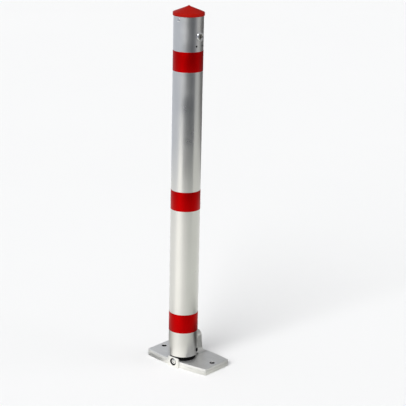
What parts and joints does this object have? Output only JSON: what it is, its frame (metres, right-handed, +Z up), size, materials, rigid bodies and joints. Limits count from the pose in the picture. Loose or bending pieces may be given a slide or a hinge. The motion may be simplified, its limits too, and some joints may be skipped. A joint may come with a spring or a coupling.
{
  "type": "retractable bollard",
  "caption": "Fold-down parking bollard: a round aluminium post with red reflective bands and a conical cap, hinged on a bolt-down base plate and locked by a key near the top.",
  "frame": {"origin": "on the ground, midway between the two anchor holes of the base plate", "axes": "+Z up along the upright post, +X along the length of the plate on the lock's side, +Y from the post towards the hinge ear"},
  "size_m": [0.206, 0.1175, 0.9558],
  "materials": {
    "cast_aluminium": "die-cast and shot-blasted, satin grey",
    "hardened_steel": "ground and hardened",
    "stainless_steel": "polished stainless",
    "bronze": "sintered bronze",
    "anodised_aluminium": "drawn tube, satin anodised",
    "black_nylon": "moulded glass-filled nylon",
    "black_oxide_steel": "black oxide",
    "zinc_plated_steel": "zinc plated",
    "natural_nylon": "turned nylon",
    "red_reflective_film": "adhesive film, smooth face",
    "red_plastic": "moulded, semi-gloss",
    "bare_aluminium": "bright, as headed",
    "grey_nylon": "moulded nylon",
    "chromed_zinc": "die-cast zinc, bright chrome",
    "spring_steel": "drawn wire",
    "nickel_plated_brass": "satin nickel plate over brass"
  },
  "bodies": {
    "base": {"base_plate": "cast_aluminium", "keeper_bush": "hardened_steel", "keeper_screw": "stainless_steel", "pivot_bush": "bronze"},
    "post": {"tube": "anodised_aluminium", "hinge_core": "black_nylon", "core_screws": "black_oxide_steel", "pivot_bolt": "zinc_plated_steel", "pivot_nut": "zinc_plated_steel", "pivot_washer": "natural_nylon", "band_lower": "red_reflective_film", "band_middle": "red_reflective_film", "band_upper": "red_reflective_film", "cap": "red_plastic", "cap_rivet": "bare_aluminium", "lock_case": "grey_nylon", "lock_screws": "black_oxide_steel", "lock_barrel": "chromed_zinc", "lock_nut": "zinc_plated_steel", "guide_lower": "grey_nylon", "guide_middle": "grey_nylon", "guide_upper": "grey_nylon", "return_spring": "spring_steel"},
    "plug": {"lock_plug": "nickel_plated_brass", "lock_cam": "zinc_plated_steel", "crank_pin": "hardened_steel", "cam_screw": "zinc_plated_steel"},
    "rod": {"lock_rod": "zinc_plated_steel", "rod_yoke": "zinc_plated_steel", "lock_bolt": "hardened_steel", "spring_collar": "zinc_plated_steel", "roll_pins": "spring_steel"}
  },
  "joints": [
    {"name": "fold", "type": "hinge", "parent": "base", "child": "post", "pos_m": [0, 0, 0.065], "axis": [0, -1, 0], "range_deg": [0, 91.5]},
    {"name": "lock_turn", "type": "hinge", "parent": "post", "child": "plug", "pos_m": [0, -0.021, 0.882], "axis": [1, 0, 0], "range_deg": [0, 90]},
    {"name": "bolt_slide", "type": "slide", "parent": "post", "child": "rod", "axis": [0, 0, 1], "range_m": [-0.01273, 0], "deforming": ["return_spring"]}
  ],
  "couplings": [
    {"joint": "lock_turn", "follows": "bolt_slide", "rad_per_m": -123.41}
  ]
}
